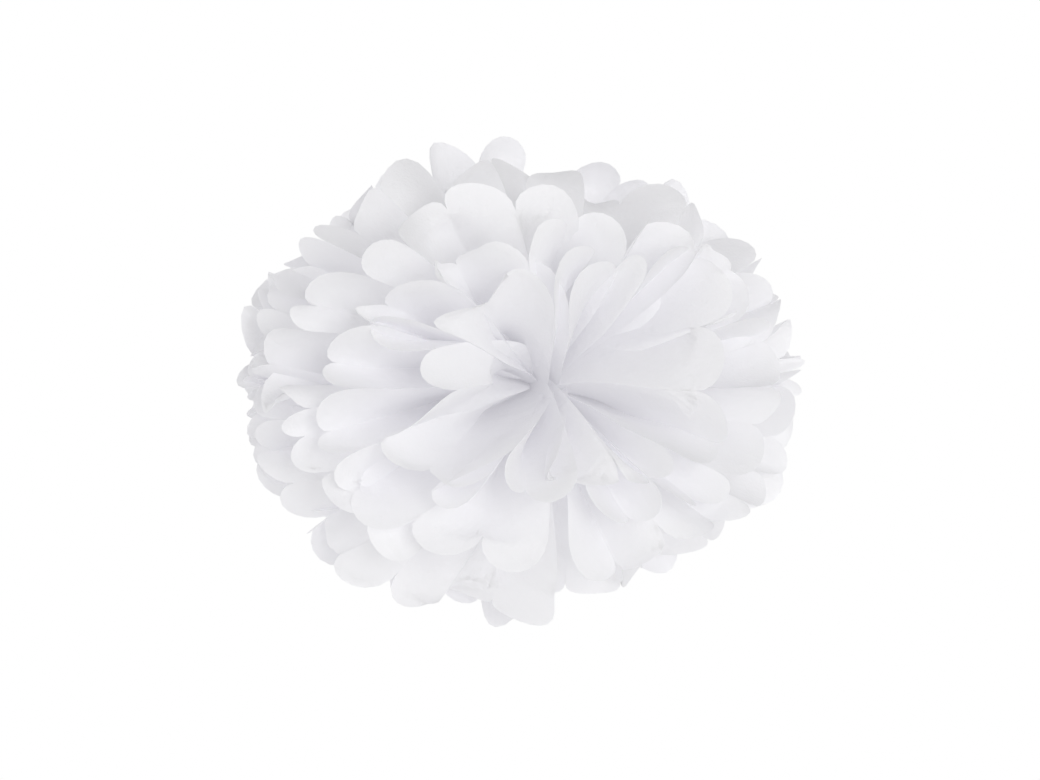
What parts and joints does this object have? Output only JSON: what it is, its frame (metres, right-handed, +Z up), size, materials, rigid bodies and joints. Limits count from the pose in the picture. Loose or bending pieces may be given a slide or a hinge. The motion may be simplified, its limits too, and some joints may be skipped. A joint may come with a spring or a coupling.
{
  "type": "tissue paper pom pom",
  "caption": "Fluffed white tissue paper pom pom: pleated sheets tied at the waist with wire, round petal tips opened all round into a ball.",
  "frame": {"origin": "centre of the waist, inside the tie that binds the folded sheets", "axes": "+Z up as it hangs, +X along the bound stack from the left fan to the right fan, -Y towards the front face of the flower"},
  "size_m": [0.3456, 0.332, 0.2878],
  "materials": {
    "tissue": "matte",
    "wire": "satin"
  },
  "bodies": {
    "root": {"tissue_sheet_01": "tissue", "tissue_sheet_02": "tissue", "tissue_sheet_03": "tissue", "tissue_sheet_04": "tissue", "tissue_sheet_05": "tissue", "tissue_sheet_06": "tissue", "tissue_sheet_07": "tissue", "tissue_sheet_08": "tissue", "tissue_sheet_09": "tissue", "tissue_sheet_10": "tissue", "waist_tie": "wire"}
  },
  "joints": []
}
